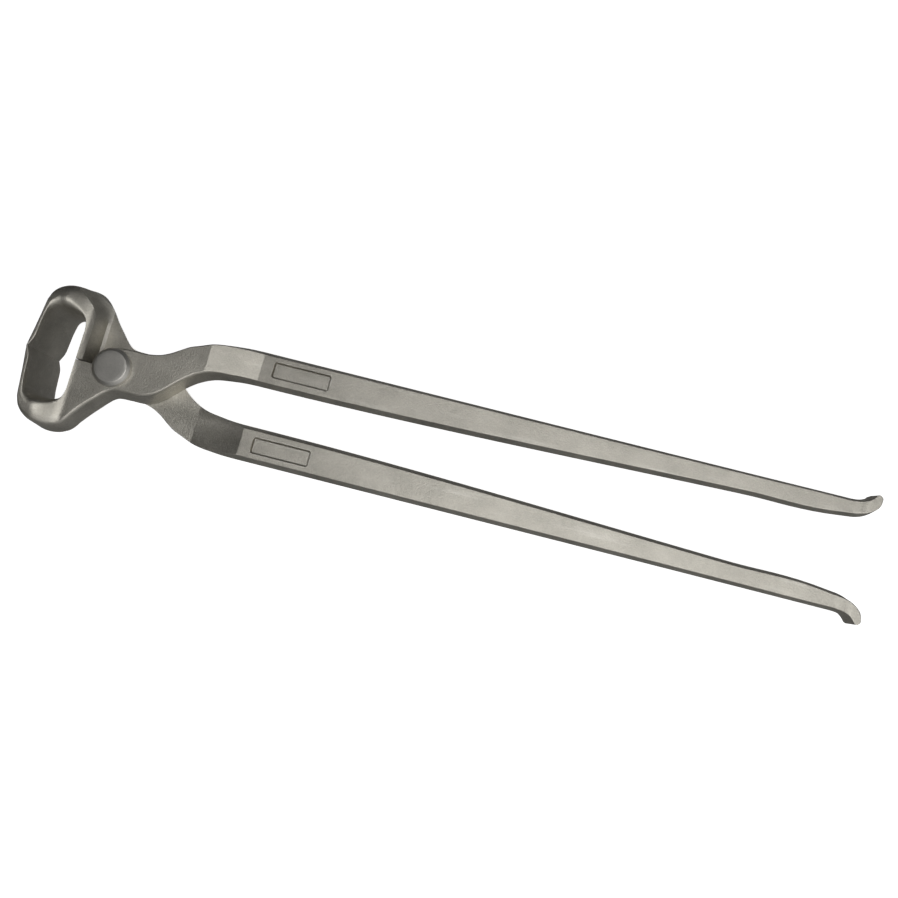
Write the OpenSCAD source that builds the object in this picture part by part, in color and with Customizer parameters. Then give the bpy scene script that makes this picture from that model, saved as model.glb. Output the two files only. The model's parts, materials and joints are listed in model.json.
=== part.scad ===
// Forged end-cutting tongs: two identical crossed arms on one rivet.
// The rivet axis stands along Z. The jaws point to -X and the reins to +X.
// Shapes are drawn about the rivet, then moved so that the origin lies under
// the middle of the whole tool, on the surface that the jaw rims rest on.

/* [Whole tool] */
// Length from the cutting edges to the rein ends
overall_length = 381; // [379:1:390]
// Distance from the rivet axis to the cutting edges
nose_reach = 36.5; // [36:0.25:37]
// Gap between the two arms where they stop against each other
closing_gap = 0.2; // [0.1:0.05:0.4]

/* [Lap joint] */
// Thickness of each arm where the two lie on each other
lap_t = 9.5; // [9:0.25:10]
// Gap between the two lapped faces
lap_gap = 0.2; // [0.1:0.05:0.4]
// Radius of the round boss about the rivet
boss_r = 9.3; // [9:0.1:9.6]
// Height of the jaw root that stands up beside the lap
shoulder_h = 9.5; // [9:0.25:10.5]

/* [Jaws] */
// Width of the cutting edges
blade_w = 32; // [30:1:36]
// Radius of the round back of each jaw
jaw_back_r = 11.2; // [11:0.1:11.4]
// Flat left on each cutting edge
edge_land = 0.6; // [0.3:0.1:1]

/* [Reins] */
// Thickness of a rein where its ramp ends
rein_t = 9; // [8:0.25:9.5]
// Thickness of a rein just before its flared end
rein_end_t = 7.6; // [6:0.25:8.5]
// Distance from the middle plane to a rein's outer side
rein_out = 25.4; // [25:0.1:26]
// How far the forged sides slope in from the parting line to the flat faces
draft_in = 1.7; // [1:0.1:2]
// Width of the flared rein ends, across the flat faces
flare_w = 10.5; // [9:0.25:12]

/* [Name panels] */
// Length of the blank panel sunk in each rein face
panel_l = 26.5; // [20:0.5:30]
// Height of the panel
panel_w = 7.6; // [6:0.2:8.4]
// Depth of the panel
panel_depth = 0.4; // [0.2:0.1:0.8]

/* [Rivet] */
// Radius of the rivet shank
shank_r = 5; // [4.5:0.1:5.5]
// Gap all round the shank in its holes
shank_fit = 0.05; // [0.02:0.01:0.1]
// Radius of the large bevelled head
head_r = 8.5; // [8:0.1:8.8]
// Height of the head
head_h = 3.4; // [2.5:0.1:4]
// Radius of the peened tail
tail_r = 7.6; // [7:0.1:8.4]
// Height of the peened tail
tail_h = 1.8; // [1:0.1:2.5]

/* [Hidden] */

rein_reach = overall_length - nose_reach;
pivot_x = nose_reach - overall_length / 2;
pivot_z = blade_w / 2;
stop_y = -closing_gap / 2;
lap_z = lap_gap / 2;

// Places along the arm, measured from the rivet
root_x = -16.5;            // mouth side of the jaw root
shoulder_x = -13.7;        // lap side of the jaw root, at its top
shoulder_foot_x = -11.4;   // and at its foot
ramp_start = 39.5;         // where the lap face begins to slope
ramp_end = 62;             // where the straight rein begins
flare_start = rein_reach - 12;
flare_end = rein_reach - 5;

// The rein's inner side runs out from the neck to the flare
rein_in_start = 9.2;
rein_in_end = 16.8;
rein_lean = atan((rein_in_end - rein_in_start) / (flare_start - ramp_end));
face_mid_y = 17.5;
panel_mid_x = 80.6;
panel_fall = 0.05;         // how far the tapering rein face has dropped there
tip_r = 2.6;

reach_z = 40;              // more than any part of the tool in Z
steps = 10;                // points along each curve

function arc(c, r, from, to) =
    [for (i = [0:steps]) let (a = from + (to - from) * i / steps) [c.x + r * cos(a), c.y + r * sin(a)]];

function bend(a, b, c, d) =
    [for (i = [0:steps]) let (t = i / steps, s = 1 - t)
        s * s * s * a + 3 * s * s * t * b + 3 * s * t * t * c + t * t * t * d];

// Outline of one arm seen along the rivet, at its parting line
function boss_and_outer_neck() = concat(
    [[root_x, stop_y]],
    arc([0, 0], boss_r, 180.6, 95),
    bend([0.5, boss_r + 0.1], [5, 10.6], [12, 10.1], [16.5, 11]),
    bend([17.5, 11.3], [21, 12.4], [24.5, 15.2], [29, 18.2]),
    bend([30, 18.8], [35, 22], [46, rein_out - 0.4], [ramp_end, rein_out - 0.1])
);

function rein_end() = concat(
    bend([flare_start, rein_out], [rein_reach - 9, rein_out], [rein_reach - 7, 28.4], [rein_reach - 4, 29]),
    arc([rein_reach - tip_r, 29.2 - tip_r], tip_r, 80, -20),
    bend([rein_reach - 0.3, 25], [rein_reach - 2, 20.5], [rein_reach - 6, 17.6], [flare_start, rein_in_end])
);

function inner_neck() = concat(
    bend([ramp_end, rein_in_start], [49, 8.6], [38.5, 7], [31, 0]),
    bend([30.2, -0.8], [26, -5.2], [21, -11.1], [14, -11.1]),
    bend([13, -11.1], [8, -11], [3.8, -9.8], [-1, -14.8])
);

function jaw_back() = concat(
    arc([-22, -22.2], jaw_back_r, -41, -90),
    bend([-23, -22.2 - jaw_back_r], [-28, -33.2], [-32.6, -29.5], [-33.6, -24.5])
);

function mouth() = concat(
    [[-nose_reach, stop_y], [-nose_reach + edge_land, stop_y], [-nose_reach + 2.4, -4.5]],
    bend([-nose_reach + 2.8, -9.5], [-33.2, -15], [-30, -19], [-24.5, -19]),
    bend([-23.5, -19], [-19.5, -19], [root_x, -18], [root_x, -14])
);

// Outline of one arm seen from the side, jaws to the left
function top_edge() = concat(
    [[-nose_reach - 1, blade_w / 2]],
    bend([-31, blade_w / 2], [-26, blade_w / 2], [-24, lap_t], [root_x, lap_t]),
    [[ramp_start, lap_t], [ramp_end, rein_t / 2]],
    bend([flare_start, rein_end_t / 2], [flare_start + 5, rein_end_t / 2],
         [flare_end - 4, flare_w / 2], [flare_end, flare_w / 2]),
    [[rein_reach + 1, flare_w / 2]]
);

function bottom_edge() = concat(
    [[rein_reach + 1, -flare_w / 2]],
    bend([flare_end, -flare_w / 2], [flare_end - 4, -flare_w / 2],
         [flare_start + 5, -rein_end_t / 2], [flare_start, -rein_end_t / 2]),
    [[ramp_end, -rein_t / 2], [ramp_start, lap_z], [-10.4, lap_z], [shoulder_foot_x, -1]],
    bend([shoulder_x + 0.2, -shoulder_h + 0.6], [shoulder_x - 0.2, -shoulder_h],
         [shoulder_x - 0.6, -shoulder_h], [root_x, -shoulder_h]),
    bend([root_x - 1, -shoulder_h], [-24, -shoulder_h], [-26, -blade_w / 2], [-31, -blade_w / 2]),
    [[-nose_reach - 1, -blade_w / 2]]
);

// Outline seen from the rein ends: it rounds off the back of the jaw
function jaw_round() = concat(
    bend([-18, blade_w / 2], [-26, blade_w / 2], [-33, 13], [-33.8, 5]),
    bend([-33.8, -1], [-33.6, -9], [-28, -blade_w / 2], [-18, -blade_w / 2]),
    [[40, -blade_w / 2], [40, blade_w / 2]]
);

module plan_shape() {
    linear_extrude(reach_z, center = true)
        polygon(concat(boss_and_outer_neck(), rein_end(), inner_neck(), jaw_back(), mouth()));
}

module side_shape() {
    rotate([90, 0, 0])
        linear_extrude(2 * reach_z, center = true)
            polygon(concat(top_edge(), bottom_edge()));
}

module end_shape() {
    rotate([90, 0, 90])
        linear_extrude(2 * overall_length, center = true)
            polygon(jaw_round());
}

// A long wedge that slopes a forged side in above the parting line. The side
// lies on the left of the direction that the wedge runs in when hand is 1.
module draft_wedge(x, y, direction, length, inset, height, hand) {
    wedge = [[0, 0], [inset, height], [inset, 2 * height], [-3, 2 * height], [-3, 0]];
    translate([x, y, 0])
        rotate([0, 0, direction])
            mirror([0, hand == 1 ? 0 : 1, 0])
                rotate([90, 0, 90])
                    linear_extrude(length)
                        polygon(wedge);
}

// The outer draft runs out by itself where the neck turns in. The inner one
// is brought out of the neck by a short wedge of its own.
module rein_drafts() {
    runout = 12;
    runout_y = rein_in_start - draft_in - 0.9;
    runout_lean = atan((draft_in + 0.9) / runout);
    h = rein_t / 2;
    for (face = [0, 1])
        mirror([0, 0, face]) {
            draft_wedge(ramp_start, rein_out, 0, flare_start - ramp_start, draft_in, h, -1);
            draft_wedge(ramp_end, rein_in_start, rein_lean, flare_end - 4 - ramp_end, draft_in, h, 1);
            draft_wedge(ramp_end - runout, runout_y, runout_lean, runout, draft_in, h, 1);
        }
}

// The shoulder side of the jaw slopes in behind the diagonal edge of the lap
module jaw_draft() {
    mirror([0, 0, 1])
        draft_wedge(-22, -38.5, 48.6, 34, 3.4, shoulder_h, 1);
}

module rounded_plate(l, w, r) {
    square([l - 2 * r, w], center = true);
    square([l, w - 2 * r], center = true);
    for (x = [-1, 1], y = [-1, 1])
        translate([x * (l / 2 - r), y * (w / 2 - r)])
            circle(r, $fn = 32);
}

module panel_pockets() {
    for (face = [0, 1])
        mirror([0, 0, face])
            translate([panel_mid_x, face_mid_y, rein_t / 2 - panel_depth - panel_fall])
                linear_extrude(panel_depth + 1)
                    rounded_plate(panel_l, panel_w, 1.2);
}

// One forging, lapped on the side of +Z, with its rein on the side of +Y
module arm() {
    difference() {
        intersection() {
            plan_shape();
            side_shape();
            end_shape();
        }
        cylinder(reach_z, shank_r + shank_fit, shank_r + shank_fit, center = true, $fn = 64);
        rein_drafts();
        jaw_draft();
        panel_pockets();
    }
}

module place() {
    translate([pivot_x, 0, pivot_z]) children();
}

module front_arm() {
    color("silver") place() arm();
}

module rear_arm() {
    color("darkgray") place() rotate([180, 0, 0]) arm();
}

// Headed in front, peened behind, with a shank that both arms turn on
module rivet() {
    bevel = 1.3;
    profile = [
        [0, -lap_t - lap_z - tail_h],
        [tail_r - 2.5, -lap_t - lap_z - tail_h],
        [tail_r, -lap_t - lap_z - 0.4],
        [tail_r, -lap_t - lap_z],
        [shank_r, -lap_t - lap_z],
        [shank_r, lap_t],
        [head_r, lap_t],
        [head_r, lap_t + head_h - bevel],
        [head_r - bevel, lap_t + head_h],
        [0, lap_t + head_h]
    ];
    color("gray") place() rotate_extrude($fn = 64) polygon(profile);
}

front_arm();
rear_arm();
rivet();
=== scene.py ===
# %% [markdown]
# # A pair of forged end-cutting tongs
# The tool is three pieces of steel: two arms that came out of the same forging
# dies, one of them turned over, and one rivet. This notebook builds each piece
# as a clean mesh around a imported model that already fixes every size, the rivet
# axis and the way the rear arm swings. Nothing here changes those sizes.

# %% Load the frame
import json
import math

import bmesh
import bpy
from mathutils import Euler, Matrix, Vector, geometry


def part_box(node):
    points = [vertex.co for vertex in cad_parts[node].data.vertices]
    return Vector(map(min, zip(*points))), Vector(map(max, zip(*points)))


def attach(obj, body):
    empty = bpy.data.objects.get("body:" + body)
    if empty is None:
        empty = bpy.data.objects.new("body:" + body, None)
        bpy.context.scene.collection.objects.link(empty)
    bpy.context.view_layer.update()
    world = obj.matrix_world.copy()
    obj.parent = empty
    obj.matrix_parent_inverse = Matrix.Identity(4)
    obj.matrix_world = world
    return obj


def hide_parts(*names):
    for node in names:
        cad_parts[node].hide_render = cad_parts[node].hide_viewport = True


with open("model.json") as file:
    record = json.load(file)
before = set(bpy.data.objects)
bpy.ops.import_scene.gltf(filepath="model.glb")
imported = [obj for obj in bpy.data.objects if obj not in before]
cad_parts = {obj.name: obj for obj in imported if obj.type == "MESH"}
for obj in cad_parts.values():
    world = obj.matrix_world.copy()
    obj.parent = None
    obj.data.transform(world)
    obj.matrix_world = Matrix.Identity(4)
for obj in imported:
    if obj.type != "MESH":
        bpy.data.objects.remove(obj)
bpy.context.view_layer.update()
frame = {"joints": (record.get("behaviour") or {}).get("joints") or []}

# %% [markdown]
# ## Millimetres about the rivet
# A smith thinks in millimetres from the rivet, and Blender thinks in metres from
# the world's origin. Working in the smith's units keeps the numbers readable.
# One matrix takes a finished arm from there to its place in the world, and a
# half turn about the tool's long axis makes the rear arm from the same mesh.

# %% Sizes read from the frame
MM = 0.001
pivot = Vector(frame["joints"][0]["pos_m"])
front_low, front_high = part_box("front_arm")
rivet_low, rivet_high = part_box("rivet")

nose_x = (front_low.x - pivot.x) / MM
reach = (front_high.x - pivot.x) / MM
back_y = (front_low.y - pivot.y) / MM
curl_y = (front_high.y - pivot.y) / MM
half_blade = (pivot.z - front_low.z) / MM
head_top = (rivet_high.z - pivot.z) / MM
tail_low = (rivet_low.z - pivot.z) / MM
head_r = (rivet_high.x - rivet_low.x) / 2 / MM

to_front = Matrix.Translation(pivot) @ Matrix.Scale(MM, 4)
to_rear = to_front @ Matrix.Rotation(math.pi, 4, "X")
print(f"jaws reach {nose_x:.1f} mm, reins {reach:.1f} mm, blades are {2 * half_blade:.0f} mm wide")

# %% [markdown]
# ## Thickness along the arm
# A drop forging is a height above and below its parting plane. Seen from the
# side, the jaw is as deep as the blade is wide, then it swoops down to the lap
# plate, which is one thickness and lies wholly on one side of the parting plane
# so that two arms can cross. Two straight ramps bring it back to the middle.

# %% The side profile
LAP_FACE = 9.5
RAMP_START, RAMP_END = 39.5, 62.0
FLARE_START, FLARE_END = reach - 12, reach - 5
REIN_T, REIN_END_T, FLARE_T = 4.5, 3.8, 5.25
JAW_RISE_START, JAW_RISE_LENGTH = -15.5, 11.5


def ease(t):
    t = min(max(t, 0), 1)
    return t * t * (3 - 2 * t)


def ramp(x, x0, x1, z0, z1):
    return z0 + (z1 - z0) * min(max((x - x0) / (x1 - x0), 0), 1)


def jaw_height(x):
    return LAP_FACE + (half_blade - LAP_FACE) * ease((JAW_RISE_START - x) / JAW_RISE_LENGTH)


def rein_height(x):
    flare = ease((x - FLARE_START) / (FLARE_END - FLARE_START))
    return ramp(x, RAMP_END, FLARE_START, REIN_T, REIN_END_T) + (FLARE_T - REIN_END_T) * flare


def side_height(x):
    if x < RAMP_START:
        return jaw_height(x)
    return ramp(x, RAMP_START, RAMP_END, LAP_FACE, rein_height(x))


print(f"half thickness: {side_height(0)} mm at the rivet, {side_height(reach):.2f} mm at the end")

# %% [markdown]
# ## The crown of the jaw
# From the mouth the top of the jaw falls away slowly, then ever faster, towards
# its back. This crown is a share of the side profile's height that depends only
# on y. It fades out towards the rivet, because the lap plate must stay flat.

# %% The crown
CROWN_Y = 18.0
CROWN_END_Y = -back_y + 0.2
CROWN_FADE_START, CROWN_FADE_LENGTH = -12, 6
CROWN_FALL, CROWN_ROUND = 3, 0.24


def crown(x, y):
    t = min(max((-y - CROWN_Y) / (CROWN_END_Y - CROWN_Y), 0), 1)
    fade = ease((CROWN_FADE_START - x) / CROWN_FADE_LENGTH)
    return 1 - fade * (1 - (1 - t ** CROWN_FALL) ** CROWN_ROUND)


def half_height(x, y):
    return side_height(x) * crown(x, y)


print(f"the jaw's half height: {half_height(-25, -23):.1f} mm, near its back {half_height(-25, -32):.1f}")

# %% [markdown]
# ## Rungs
# Both edges of the forging are smooth curves, and a rung joins each point of one
# edge to its partner on the other, as on a rope ladder that follows the arm from
# the rein end, past the rivet and round the jaw to the cutting edge. A mesh laid
# along such rungs flows with the metal, which a boolean of three outlines
# wouldn't do. Each rung gives its two ends at the parting plane, then how far
# each side slopes in and how round its edge is, then the number of steps to the
# next rung. A corner flag stops the curve from rounding a corner there.

# %% The ladder
# (outer or mouth side x, y), (inner or back side x, y), (slope, round) of each, steps, corner
LADDER = [
    ((reach - 2.7, curl_y - 0.1), (reach - 1.4, curl_y - 0.3), (0.3, 0.3), (0.3, 0.3), 4, ""),
    ((reach - 3.6, curl_y - 0.3), (reach - 0.45, curl_y - 1.1), (0.5, 0.4), (0.4, 0.4), 4, ""),
    ((reach - 4.7, 28.1), (reach - 0.15, 26.2), (0.8, 0.4), (0.5, 0.4), 4, ""),
    ((reach - 6.1, 27.0), (reach - 0.6, 23.6), (1.0, 0.4), (0.7, 0.4), 4, ""),
    ((reach - 7.9, 26.1), (reach - 2.5, 21.1), (1.1, 0.4), (0.9, 0.4), 4, ""),
    ((reach - 10.0, 25.6), (reach - 5.5, 19.0), (1.2, 0.4), (1.1, 0.4), 4, ""),
    ((reach - 12.6, 25.4), (reach - 9.2, 17.6), (1.3, 0.4), (1.3, 0.4), 3, ""),
    ((reach - 15.5, 25.4), (reach - 15.0, 16.8), (1.3, 0.4), (1.3, 0.4), 8, ""),
    ((reach - 60.0, 25.3), (reach - 60.0, 15.3), (1.35, 0.4), (1.4, 0.4), 20, ""),
    ((RAMP_END + 0.3, 25.2), (RAMP_END + 0.3, 9.2), (1.7, 0.4), (1.7, 0.4), 1, ""),
    ((RAMP_END, 25.2), (RAMP_END, 9.2), (1.7, 0.4), (1.7, 0.4), 1, ""),
    ((RAMP_END - 0.3, 25.2), (RAMP_END - 0.3, 9.2), (1.7, 0.4), (1.7, 0.4), 5, ""),
    ((51.0, 24.8), (51.0, 8.5), (1.8, 0.4), (1.8, 0.4), 5, ""),
    ((RAMP_START + 0.3, 23.1), (RAMP_START + 0.3, 6.1), (1.9, 0.5), (2.0, 1.1), 1, ""),
    ((RAMP_START, 23.0), (RAMP_START, 5.95), (1.9, 0.5), (2.0, 1.1), 1, ""),
    ((RAMP_START - 0.3, 22.9), (RAMP_START - 0.3, 5.8), (1.9, 0.5), (2.0, 1.1), 4, ""),
    ((34.6, 21.1), (35.2, 3.6), (1.9, 0.6), (2.0, 1.1), 4, ""),
    ((30.2, 19.3), (31.2, 0.5), (1.8, 0.6), (2.0, 1.1), 4, ""),
    ((26.4, 16.8), (27.6, -2.9), (1.7, 0.6), (2.0, 1.1), 4, ""),
    ((22.8, 14.3), (24.3, -6.3), (1.5, 0.6), (2.0, 1.1), 4, ""),
    ((18.4, 12.1), (20.5, -9.2), (1.3, 0.6), (2.0, 1.1), 4, ""),
    ((12.0, 10.7), (15.4, -11.1), (1.0, 0.6), (2.0, 1.1), 4, ""),
    ((6.0, 10.2), (9.5, -11.3), (0.5, 0.6), (2.0, 1.1), 4, ""),
    ((0.6, 9.5), (3.6, -11.6), (0.2, 0.5), (2.0, 1.1), 4, ""),
    ((-5.2, 7.8), (1.2, -12.8), (0.1, 0.5), (2.1, 1.1), 4, ""),
    ((-8.7, 3.6), (-0.4, -14.3), (0.1, 0.5), (2.2, 1.1), 4, ""),
    ((-9.4, -0.1), (-1.6, -15.6), (0.1, 0.4), (2.3, 1.1), 4, "outer"),
    ((-13.0, -0.1), (-3.5, -17.8), (0.1, 0.3), (2.4, 1.1), 4, ""),
    ((-17.1, -0.1), (-5.9, -20.5), (0.1, 0.3), (2.5, 1.3), 4, "outer"),
    ((-17.1, -5.0), (-8.1, -23.2), (0.1, 0.3), (2.5, 1.4), 4, ""),
    ((-17.1, -10.0), (-10.4, -26.1), (0.1, 0.4), (2.5, 1.5), 4, ""),
    ((-17.2, -14.0), (-13.3, -29.6), (0.2, 0.8), (2.4, 1.4), 4, ""),
    ((-18.2, -17.3), (-16.8, -32.2), (0.2, 1.9), (2.1, 1.5), 4, ""),
    ((-21.0, -19.0), (-21.0, back_y + 0.12), (0.5, 3.2), (1.8, 1.5), 5, ""),
    ((-24.6, -19.7), (-25.4, back_y + 0.25), (0.6, 4.2), (1.6, 1.6), 5, ""),
    ((-28.8, -19.6), (-29.4, -31.7), (0.4, 4.4), (1.3, 2.0), 5, ""),
    ((-31.7, -17.6), (-32.4, -28.6), (0.2, 3.8), (0.8, 2.4), 5, ""),
    ((-32.9, -14.0), (nose_x + 2.5, -24.0), (0.1, 2.6), (0.1, 2.8), 5, "inner"),
    ((-33.6, -9.0), (nose_x + 1.6, -15.5), (0.1, 1.2), (0.05, 2.0), 4, ""),
    ((-34.3, -3.6), (nose_x + 0.6, -6.0), (0.1, 0.5), (0.05, 0.8), 4, ""),
    ((nose_x + 0.5, -0.05), (nose_x, -0.05), (0.02, 0.15), (0.02, 0.15), 0, ""),
]
print(len(LADDER), "rungs")

# %% [markdown]
# ## Smooth edges through the rungs
# A Bezier span between each two rungs, with handles that follow its neighbours,
# gives a smooth curve through every point, even where a short span meets a long
# one. At a corner each side takes its own direction.

# %% From rungs to many stations


def handle_slopes(points, lengths, corners):
    slopes = []
    for i, point in enumerate(points):
        before = (point - points[i - 1]) / lengths[i - 1] if i > 0 else None
        after = (points[i + 1] - point) / lengths[i] if i < len(points) - 1 else None
        if before is None or after is None or i in corners:
            slopes.append((before or after, after or before))
        else:
            a, b = lengths[i - 1], lengths[i]
            middle = (before * b + after * a) / (a + b)
            slopes.append((middle, middle))
    return slopes


def smooth_edge(side, corner_name):
    points = [Vector((rung[side][0], rung[side][1], 0)) for rung in LADDER]
    middles = [(Vector(rung[0]) + Vector(rung[1])) / 2 for rung in LADDER]
    lengths = [(middles[i + 1] - middles[i]).length for i in range(len(middles) - 1)]
    corners = {i for i, rung in enumerate(LADDER) if rung[5] == corner_name}
    slopes = handle_slopes(points, lengths, corners)
    edge = []
    for i, rung in enumerate(LADDER[:-1]):
        third = lengths[i] / 3
        handles = points[i] + slopes[i][1] * third, points[i + 1] - slopes[i + 1][0] * third
        span = geometry.interpolate_bezier(points[i], *handles, points[i + 1], rung[4] + 1)
        edge += span[:-1]
    return edge + [points[-1]]


def spread(column):
    values = []
    for rung, following in zip(LADDER, LADDER[1:]):
        for step in range(rung[4]):
            values.append(Vector(rung[column]).lerp(Vector(following[column]), step / rung[4]))
    return values + [Vector(LADDER[-1][column])]


outer_edge, inner_edge = smooth_edge(0, "outer"), smooth_edge(1, "inner")
outer_form, inner_form = spread(2), spread(3)
print(len(outer_edge), "stations along the arm")

# %% [markdown]
# ## One section
# At each station the section is a closed loop that starts on the outer side at
# the parting plane, climbs the sloping side, rounds the edge, crosses the top,
# comes down the other side, and returns underneath as its own mirror image. The
# loop has the same number of points everywhere, so that sections can be joined.

# %% The section loop
EDGE_STEPS = 7
FLAT_STEPS = 8
OUTER_ROOM, INNER_ROOM = 0.52, 0.4  # the share of the width that each side may take
LEAST_RISE = 0.2


def side_points(slope, radius, height, room):
    """Distances in from the edge, and shares of the height, up one side."""
    squeeze = min(1, room / (slope + radius))
    slope, radius = slope * squeeze, radius * squeeze
    drop = radius * (1 + min(radius / 2, 1.2))
    rise = max(1 - drop / height, LEAST_RISE)
    points = [(0, 0), (slope * rise / 2, rise / 2)]
    for i in range(EDGE_STEPS + 1):
        t = i / EDGE_STEPS
        inwards = (1 - t) ** 2 * slope * rise + 2 * t * (1 - t) * slope + t * t * (slope + radius)
        upwards = (1 - t) ** 2 * rise + 2 * t * (1 - t) + t * t
        points.append((inwards, upwards))
    return points


def half_section(a, b, form_a, form_b):
    width = (b - a).length
    middle = (a + b) / 2
    height = half_height(middle.x, middle.y)
    side_a = [(d / width, rise) for d, rise in side_points(*form_a, height, width * OUTER_ROOM)]
    side_b = [(1 - d / width, rise) for d, rise in side_points(*form_b, height, width * INNER_ROOM)]
    start, end = side_a[-1][0], side_b[-1][0]
    flat = [(start + (end - start) * k / FLAT_STEPS, 1) for k in range(1, FLAT_STEPS)]
    upper = []
    for share, rise in side_a + flat + side_b[::-1]:
        p = a.lerp(b, share)
        upper.append(Vector((p.x, p.y, rise * half_height(p.x, p.y))))
    return upper


def section(*station):
    upper = half_section(*station)
    lower = [Vector((p.x, p.y, -p.z)) for p in upper[-2:0:-1]]
    return upper + lower


sections = [section(*station) for station in zip(outer_edge, inner_edge, outer_form, inner_form)]
print(len(sections[0]), "points in each section")

# %% [markdown]
# ## Wrapping a skin round sections
# A flat grid has one row for each section and one column for each of its points.
# Moving each row onto its section wraps the grid into a skin, and merging the
# doubles closes the seam. It could also be a chain of bridged loops, but a grid
# can't twist. The same helper makes the blank and, later, the tool that cuts it.

# %% The blank forging
MERGE = 0.0005


def skin(loops):
    columns, rows = len(loops[0]), len(loops)
    bm = bmesh.new()
    bmesh.ops.create_grid(bm, x_segments=columns, y_segments=rows - 1, size=1)
    for vert in bm.verts:
        column = round((vert.co.x + 1) / 2 * columns)
        row = round((vert.co.y + 1) / 2 * (rows - 1))
        vert.co = loops[row][column % columns]
    bmesh.ops.remove_doubles(bm, verts=bm.verts, dist=MERGE)
    bmesh.ops.holes_fill(bm, edges=bm.edges, sides=0)
    bmesh.ops.dissolve_degenerate(bm, dist=MERGE, edges=bm.edges)
    bmesh.ops.recalc_face_normals(bm, faces=bm.faces)
    return bm


def mesh_object(name, bm):
    mesh = bpy.data.meshes.new(name)
    bm.to_mesh(mesh)
    bm.free()
    piece = bpy.data.objects.new(name, mesh)
    bpy.context.scene.collection.objects.link(piece)
    return piece


blank = mesh_object("blank", skin(sections))
print("the blank has", len(blank.data.polygons), "faces")

# %% [markdown]
# ## Cutting the lap, the rivet hole and the name panels
# So far the blank is the same above and below. The real one is forged with a
# lap: below its middle, all the room that the other arm turns in is missing. A
# boolean suits these cuts, because each leaves flat faces and crisp corners.
# The lap tool's section is that room seen from the side: a shoulder wall, a
# small fillet, the lap face and the ramp. Towards the back of the jaw its ridge
# draws away, so that the shoulder wraps round the corner without a crease.

# %% Cutting one mesh with another
LAP_GAP = 0.1


def cut(piece, cutter_bm):
    cutter = mesh_object("cutter", cutter_bm)
    boolean = piece.modifiers.new("cut", "BOOLEAN")
    boolean.operation = "DIFFERENCE"
    boolean.solver = "EXACT"
    boolean.object = cutter
    bpy.context.view_layer.update()
    evaluated = piece.evaluated_get(bpy.context.evaluated_depsgraph_get())
    result = bpy.data.meshes.new_from_object(evaluated)
    piece.modifiers.clear()
    piece.data = result
    bpy.data.objects.remove(cutter)


# %% The lap
FOOT, FILLET_END = (-11.8, -0.75), (-10.6, LAP_GAP)
PAST_RAMP = RAMP_END + 8
PAST_FALL = LAP_GAP - (LAP_GAP + REIN_T) * (PAST_RAMP - RAMP_START) / (RAMP_END - RAMP_START)
RIDGE_X, BEND_X = -14.2, -13.7
AWAY_Y = 19
BELOW = -20  # lower than any part of the arm


def lap_outline(y):
    away = max(-y - AWAY_Y, 0)
    soft = min(away / 8, 1)
    back = min(0.075 * away ** 2, 9)
    ridge_x = RIDGE_X - back
    ridge_z = -half_height(ridge_x, y) - 0.15
    foot, ridge = Vector((FOOT[0], y, FOOT[1])), Vector((ridge_x, y, ridge_z))
    bend = Vector((BEND_X - 1.2 * back, y, (ridge_z + 1.2) * (1 - 0.3 * soft)))
    bend.x = max(bend.x, ridge_x + 0.3)
    handles = foot.lerp(bend, 0.67), ridge.lerp(bend, 0.67)
    wall = geometry.interpolate_bezier(foot, *handles, ridge, 10)
    rest = [(ridge_x, BELOW), (PAST_RAMP, BELOW), (PAST_RAMP, PAST_FALL)]
    rest += [(RAMP_START, LAP_GAP), FILLET_END]
    return wall + [Vector((x, y, z)) for x, z in rest]


LAP_STATIONS = [40, 12, -16, -20, -22, -24, -26, -28, -30, -32, -34, -40]
cut(blank, skin([lap_outline(y) for y in LAP_STATIONS]))
print("with its lap:", len(blank.data.polygons), "faces")

# %% The rivet hole
BORE_R = 5.05


def bore_cutter():
    bm = bmesh.new()
    bmesh.ops.create_cone(bm, cap_ends=True, segments=96, radius1=BORE_R, radius2=BORE_R,
                          depth=60)
    return bm


cut(blank, bore_cutter())
print("drilled", 2 * BORE_R, "mm")

# %% The name panels, left blank
PANEL_X, PANEL_Y = 80.6, 17.5
PANEL_L, PANEL_W, PANEL_CORNER = 26.5, 7.6, 1.3
PANEL_DEPTH, GROOVE_W, GROOVE_DEPTH = 0.25, 0.85, 0.6
PLATE_T = 4


def panel_cutter(face):
    """A plate with round corners; its lower face has a raised rim, which cuts the groove."""
    bm = bmesh.new()
    bmesh.ops.create_cube(bm, size=1)
    bmesh.ops.scale(bm, vec=(PANEL_L, PANEL_W, PLATE_T), verts=bm.verts)
    uprights = [e for e in bm.edges if abs(e.verts[0].co.z - e.verts[1].co.z) > 1]
    bmesh.ops.bevel(bm, geom=uprights, offset=PANEL_CORNER, segments=6, profile=0.5,
                    affect="EDGES", material=-1)
    low = [f for f in bm.faces if f.normal.z < -0.9]
    bmesh.ops.inset_region(bm, faces=low, thickness=GROOVE_W, use_even_offset=True)
    inner = [v for f in low for v in f.verts]
    bmesh.ops.translate(bm, vec=(0, 0, GROOVE_DEPTH), verts=inner)
    lift = rein_height(PANEL_X) - PANEL_DEPTH - GROOVE_DEPTH + PLATE_T / 2
    bmesh.ops.translate(bm, vec=(PANEL_X, PANEL_Y, lift), verts=bm.verts)
    if face < 0:
        bmesh.ops.scale(bm, vec=(1, 1, -1), verts=bm.verts)
        bmesh.ops.reverse_faces(bm, faces=bm.faces)
    return bm


for face in (1, -1):
    cut(blank, panel_cutter(face))
print("after cutting:", len(blank.data.polygons), "faces")

# %% [markdown]
# ## Shading a mesh that has both flats and curves
# Smooth shading alone would smear light across the flats, because a corner's
# normal is shared with the round next to it. Edges sharper than about thirty
# degrees are marked sharp, and weighted normals let the big flat faces win.

# %% Finishing an arm


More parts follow.
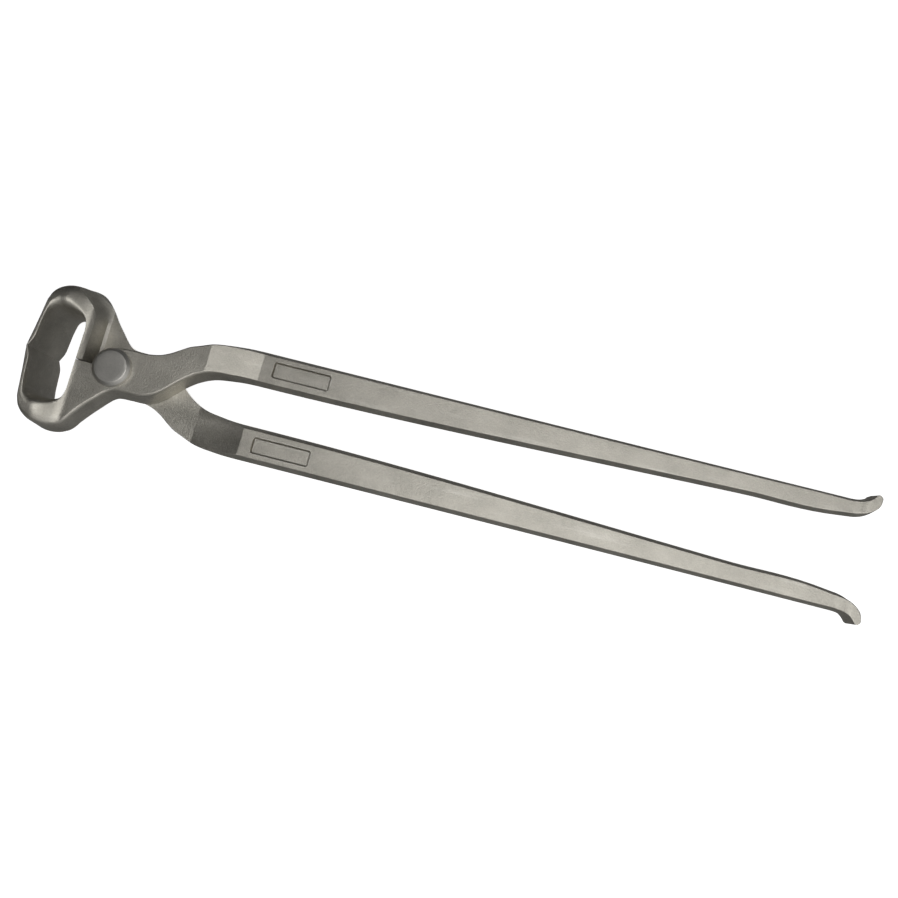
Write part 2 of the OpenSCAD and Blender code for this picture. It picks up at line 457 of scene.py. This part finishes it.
def finish_piece(piece, sharp_degrees=32):
    for polygon in piece.data.polygons:
        polygon.use_smooth = True
    piece.data.set_sharp_from_angle(angle=math.radians(sharp_degrees))
    weighted = piece.modifiers.new("weighted_normals", "WEIGHTED_NORMAL")
    weighted.keep_sharp = True
    weighted.weight = 100


def arm(name, place):
    piece = bpy.data.objects.new(name, blank.data.copy())
    piece.data.name = name
    piece.data.transform(place)
    bpy.context.scene.collection.objects.link(piece)
    finish_piece(piece)
    return piece


front_arm = arm("front_arm_forging", to_front)
rear_arm = arm("rear_arm_forging", to_rear)
bpy.data.objects.remove(blank)
print("arms:", front_arm.name, rear_arm.name)

# %% [markdown]
# ## The rivet
# A rivet is a turned shape, so half of its outline spun about its axis makes it.
# The head is flat with a wide bevel, and the far end is peened to a low dome.

# %% Spinning the rivet
SHANK_R = 5.0
HEAD_H = head_top - LAP_FACE
TAIL_R = 7.6
HEAD_BEVEL = 1.3


def arc(cx, cz, radius, start, end, steps):
    angles = [math.radians(start + (end - start) * i / steps) for i in range(steps + 1)]
    return [(cx + radius * math.cos(t), cz + radius * math.sin(t)) for t in angles]


def rivet_outline():
    low = -LAP_FACE - LAP_GAP
    head = [(SHANK_R, LAP_FACE), (head_r - 0.35, LAP_FACE)]
    head += arc(head_r - 0.4, LAP_FACE + 0.4, 0.4, -60, 0, 3)
    head += [(head_r, head_top - HEAD_BEVEL - 0.2), (head_r - 0.1, head_top - HEAD_BEVEL)]
    head += [(head_r - HEAD_BEVEL + 0.1, head_top - 0.15), (head_r - HEAD_BEVEL - 0.2, head_top)]
    head += [(head_r - 3, head_top), (0, head_top)]
    dome = [(0, tail_low), (2, tail_low + 0.03), (4, tail_low + 0.2), (TAIL_R - 2, tail_low + 0.55)]
    dome += arc(TAIL_R - 0.8, low - 0.45, 0.8, -60, 0, 4) + [(TAIL_R, low), (SHANK_R, low)]
    return dome + head


def rivet_mesh():
    bm = bmesh.new()
    verts = [bm.verts.new((r, 0, z)) for r, z in rivet_outline()]
    edges = [bm.edges.new(pair) for pair in zip(verts, verts[1:])]
    bmesh.ops.spin(bm, geom=verts + edges, cent=(0, 0, 0), axis=(0, 0, 1), angle=math.tau,
                   steps=96, use_merge=True)
    bmesh.ops.remove_doubles(bm, verts=bm.verts, dist=MERGE)
    bmesh.ops.recalc_face_normals(bm, faces=bm.faces)
    bmesh.ops.transform(bm, matrix=to_front, verts=bm.verts)
    return bm


rivet = mesh_object("rivet_turned", rivet_mesh())
finish_piece(rivet)
print("rivet head is", round(2 * head_r, 1), "mm across and", round(HEAD_H, 1), "mm high")

# %% [markdown]
# ## Bare forged steel
# The scale was blasted off after forging, which leaves a fine, even grain that
# scatters light, and slow changes of tone where the metal was handled. The grain
# is a noise far smaller than the edges, and it moves both colour and height.

# %% A node group for blasted grain


def node(tree, kind, **settings):
    """Add a node; settings that start with in_ go to its sockets."""
    made = tree.nodes.new(kind)
    for key, value in settings.items():
        if key.startswith("in_"):
            made.inputs[key[3:].replace("_", " ")].default_value = value
        else:
            setattr(made, key, value)
    return made


def new_group(name, inputs, outputs):
    tree = bpy.data.node_groups.new(name, "ShaderNodeTree")
    new_socket = tree.interface.new_socket
    for label, value in inputs.items():
        socket = new_socket(label, in_out="INPUT", socket_type="NodeSocketFloat")
        socket.default_value = value
    for label in outputs:
        new_socket(label, in_out="OUTPUT", socket_type="NodeSocketFloat")
    return tree, tree.nodes.new("NodeGroupInput"), tree.nodes.new("NodeGroupOutput")


def grain_group():
    scales = {"Grain Scale": 1400.0, "Tone Scale": 60.0}
    tree, given, result = new_group("blasted_grain", scales, ["Grain", "Tone"])
    place = tree.nodes.new("ShaderNodeTexCoord")
    fine = node(tree, "ShaderNodeTexNoise", in_Detail=4.0, in_Roughness=0.7)
    slow = node(tree, "ShaderNodeTexNoise", in_Detail=5.0, in_Roughness=0.6)
    for texture in (fine, slow):
        tree.links.new(place.outputs["Object"], texture.inputs["Vector"])
    tree.links.new(given.outputs["Grain Scale"], fine.inputs["Scale"])
    tree.links.new(given.outputs["Tone Scale"], slow.inputs["Scale"])
    tree.links.new(fine.outputs["Fac"], result.inputs["Grain"])
    tree.links.new(slow.outputs["Fac"], result.inputs["Tone"])
    return tree


grain = grain_group()
print("node group:", grain.name)

# %% [markdown]
# ## Worn edges with painted highlight, and rubbed patches
# Handling polishes a tool first where it sticks out, and its rounded edges catch thin lines of light; one
# lighter colour on every edge paints both, the wear and the highlight. The Bevel node gives the normal
# that the surface would have if its edges were rounded. Where that differs from the true normal there is
# an edge, and a noise breaks the lightened edge up. Reins also pick up faint lengthwise rubs, which a
# noise stretched along the tool gives.

# %% A node group for wear


def wear_and_edge_highlight_group():
    amounts = {"Edge Width": 0.0006, "Rub Amount": 0.4}
    tree, given, result = new_group("handling_wear_and_edge_highlight", amounts, ["Edge", "Rub"])
    place = tree.nodes.new("ShaderNodeTexCoord")
    rounded = node(tree, "ShaderNodeBevel", samples=6)
    true_normal = tree.nodes.new("ShaderNodeNewGeometry")
    same = node(tree, "ShaderNodeVectorMath", operation="DOT_PRODUCT")
    # Lighter where the Bevel normal leaves the true normal: edge wear and painted highlight along every
    # edge.
    edge = node(tree, "ShaderNodeMapRange", in_From_Min=0.995, in_From_Max=0.93)
    patchy = node(tree, "ShaderNodeTexNoise", in_Scale=260.0, in_Detail=3.0)
    worn_edge_highlight = node(tree, "ShaderNodeMath", operation="MULTIPLY")
    along = node(tree, "ShaderNodeMapping", in_Scale=(25, 260, 260))
    streaks = node(tree, "ShaderNodeTexNoise", in_Scale=1.0, in_Detail=4.0, in_Roughness=0.65)
    rubbed = node(tree, "ShaderNodeMapRange", in_From_Min=0.55, in_From_Max=0.75)
    link = tree.links.new
    link(given.outputs["Edge Width"], rounded.inputs["Radius"])
    link(rounded.outputs["Normal"], same.inputs[0])
    link(true_normal.outputs["Normal"], same.inputs[1])
    link(same.outputs["Value"], edge.inputs["Value"])
    link(place.outputs["Object"], patchy.inputs["Vector"])
    link(edge.outputs["Result"], worn_edge_highlight.inputs[0])
    link(patchy.outputs["Fac"], worn_edge_highlight.inputs[1])
    link(worn_edge_highlight.outputs[0], result.inputs["Edge"])
    link(place.outputs["Object"], along.inputs["Vector"])
    link(along.outputs["Vector"], streaks.inputs["Vector"])
    link(streaks.outputs["Fac"], rubbed.inputs["Value"])
    link(given.outputs["Rub Amount"], rubbed.inputs["To Max"])
    link(rubbed.outputs["Result"], result.inputs["Rub"])
    return tree


edge_highlight_and_wear = wear_and_edge_highlight_group()
print("node group:", edge_highlight_and_wear.name)

# %% The steel of the arms and of the rivet
# The lighter colour of worn edges and rubs; on the edges it is also painted highlight.
WEAR_AND_EDGE_HIGHLIGHT = (0.74, 0.72, 0.67, 1)


def steel(name, dark, light, roughness, grain_scale, bump, rub):
    material = bpy.data.materials.new(name)
    material.use_nodes = True
    tree = material.node_tree
    shader = tree.nodes["Principled BSDF"]
    shader.inputs["Metallic"].default_value = 0.9
    grains = node(tree, "ShaderNodeGroup", node_tree=grain, in_Grain_Scale=grain_scale)
    worn_and_highlit = node(tree, "ShaderNodeGroup", node_tree=edge_highlight_and_wear, in_Rub_Amount=rub)
    tone = node(tree, "ShaderNodeMath", operation="MULTIPLY_ADD")
    tone.inputs[1].default_value = 0.55
    colours = tree.nodes.new("ShaderNodeValToRGB")
    for element, position, colour in zip(colours.color_ramp.elements, (0.45, 1), (dark, light)):
        element.position, element.color = position, (*colour, 1)
    polish_and_highlight = node(tree, "ShaderNodeMath", operation="ADD", use_clamp=True)
    bright = node(tree, "ShaderNodeMix", data_type="RGBA", blend_type="MIX")
    bright.inputs["B"].default_value = WEAR_AND_EDGE_HIGHLIGHT
    rough = node(tree, "ShaderNodeMapRange", in_To_Min=roughness - 0.06,
                 in_To_Max=roughness + 0.08)
    smoother = node(tree, "ShaderNodeMath", operation="MULTIPLY_ADD")
    smoother.inputs[1].default_value = -0.12
    relief = node(tree, "ShaderNodeBump", in_Strength=bump, in_Distance=0.0002)
    link = tree.links.new
    link(grains.outputs["Grain"], tone.inputs[0])
    link(grains.outputs["Tone"], tone.inputs[2])
    link(tone.outputs[0], colours.inputs["Fac"])
    # Edges and rubs lighten the base colour: the edge part is wear and painted highlight together.
    link(worn_and_highlit.outputs["Edge"], polish_and_highlight.inputs[0])
    link(worn_and_highlit.outputs["Rub"], polish_and_highlight.inputs[1])
    link(polish_and_highlight.outputs[0], bright.inputs["Factor"])
    link(colours.outputs["Color"], bright.inputs["A"])
    link(bright.outputs["Result"], shader.inputs["Base Color"])
    link(grains.outputs["Tone"], rough.inputs["Value"])
    link(polish_and_highlight.outputs[0], smoother.inputs[0])
    link(rough.outputs["Result"], smoother.inputs[2])
    link(smoother.outputs[0], shader.inputs["Roughness"])
    link(grains.outputs["Grain"], relief.inputs["Height"])
    link(relief.outputs["Normal"], shader.inputs["Normal"])
    return material


forged_steel = steel("forged_steel", dark=(0.36, 0.345, 0.305), light=(0.60, 0.575, 0.51),
                     roughness=0.42, grain_scale=1300, bump=0.75, rub=0.35)
rivet_steel = steel("rivet_steel", dark=(0.45, 0.44, 0.41), light=(0.66, 0.64, 0.60),
                    roughness=0.44, grain_scale=2200, bump=0.25, rub=0.15)
for piece in (front_arm, rear_arm):
    piece.data.materials.clear()
    piece.data.materials.append(forged_steel)
rivet.data.materials.append(rivet_steel)
print("materials:", forged_steel.name, rivet_steel.name)

# %% [markdown]
# ## Which body each piece rides on
# The rivet is headed in the front arm and stays with it. The rear arm is the one
# that swings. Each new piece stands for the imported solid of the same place.

# %% Riding on the frame
for piece, body, cad_node, slot in (
    (front_arm, "front", "front_arm", "forged_steel"),
    (rear_arm, "rear", "rear_arm", "forged_steel"),
    (rivet, "front", "rivet", "rivet_steel"),
):
    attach(piece, body)
    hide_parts(cad_node)
    print(piece.name, "rides on", body)

# %% [markdown]
# ## Table, light and camera
# Metal shows what is around it, so the light is part of the finish. One large
# soft light hangs above, a little towards the rein ends, and the world glows on
# that side too, so every facet that leans towards the reins turns bright. From
# below, the world gives back a little of what a pale table would. Only where the
# camera looks past the floor does it see a plain pale backdrop.

# %% A pale floor
bm = bmesh.new()
bmesh.ops.create_grid(bm, x_segments=1, y_segments=1, size=3)
floor = mesh_object("floor", bm)
floor_paint = bpy.data.materials.new("floor_paint")
floor_paint.use_nodes = True
paint = floor_paint.node_tree.nodes["Principled BSDF"].inputs
paint["Base Color"].default_value = (0.92, 0.92, 0.92, 1)
paint["Roughness"].default_value = 0.8
paint["Emission Color"].default_value = (1, 1, 1, 1)
paint["Emission Strength"].default_value = 0.8
floor.data.materials.append(floor_paint)
floor.visible_glossy = False
print("floor at z =", floor.location.z)

# %% A soft light above


def softbox(name, place, target, width, height, watts):
    data = bpy.data.lights.new(name, "AREA")
    data.shape = "RECTANGLE"
    data.size, data.size_y, data.energy = width, height, watts
    light = bpy.data.objects.new(name, data)
    light.location = place
    light.rotation_euler = (Vector(target) - Vector(place)).to_track_quat("-Z", "Y").to_euler()
    bpy.context.scene.collection.objects.link(light)
    return light


key_light = softbox("key_light", (0.3, -0.15, 1.3), (0, 0, 0), 1.1, 1.3, 9.0)
print(key_light.name, "gives", key_light.data.energy, "W")

# %% The studio all round
BRIGHT_SIDE = (0.75, -0.65, 0.1)

world = bpy.data.worlds.new("studio")
world.use_nodes = True
bpy.context.scene.world = world
bpy.context.scene.view_settings.view_transform = "Standard"
sky = world.node_tree
background = sky.nodes["Background"].inputs
background["Color"].default_value = (1, 1, 1, 1)
towards = node(sky, "ShaderNodeTexCoord")
across = node(sky, "ShaderNodeVectorMath", operation="DOT_PRODUCT")
across.inputs[1].default_value = BRIGHT_SIDE
side_level = node(sky, "ShaderNodeMapRange", in_From_Min=0.15, in_To_Max=0.6)
height = node(sky, "ShaderNodeSeparateXYZ")
above = node(sky, "ShaderNodeMapRange", in_From_Min=-0.1, in_From_Max=0.1)
low_level = node(sky, "ShaderNodeMapRange", in_From_Min=-0.3, in_From_Max=0.1,
                 in_To_Min=0.1, in_To_Max=0.0)
level = node(sky, "ShaderNodeMath", operation="MULTIPLY_ADD")
seen = node(sky, "ShaderNodeLightPath")
backdrop = node(sky, "ShaderNodeMix", data_type="FLOAT", in_B=1.0)
for start, end in (
    (towards.outputs["Generated"], across.inputs[0]),
    (towards.outputs["Generated"], height.inputs[0]),
    (across.outputs["Value"], side_level.inputs["Value"]),
    (height.outputs["Z"], above.inputs["Value"]),
    (height.outputs["Z"], low_level.inputs["Value"]),
    (side_level.outputs["Result"], level.inputs[0]),
    (above.outputs["Result"], level.inputs[1]),
    (low_level.outputs["Result"], level.inputs[2]),
    (level.outputs[0], backdrop.inputs["A"]),
    (seen.outputs["Is Camera Ray"], backdrop.inputs["Factor"]),
    (backdrop.outputs["Result"], background["Strength"]),
):
    sky.links.new(start, end)
print(world.name, "has", len(sky.links), "links")

# %% [markdown]
# ## The camera
# It looks down on the tool from about 0.4 m, nearly square to the table. So near
# a view makes the deep jaw show its inner walls, which a distant one would hide.

# %% The camera
camera_data = bpy.data.cameras.new("camera")
camera_data.lens = 34.68
camera_data.sensor_width = 36
camera_data.clip_start = 0.01
camera = bpy.data.objects.new("camera", camera_data)
camera.location = (0.0075, -0.0472, 0.4006)
turns = [math.radians(degrees) for degrees in (7.503, -0.521, 14.183)]
camera.rotation_euler = Euler(turns)
bpy.context.scene.collection.objects.link(camera)
bpy.context.scene.camera = camera
print("camera is", round(camera.location.z, 3), "m above the floor")
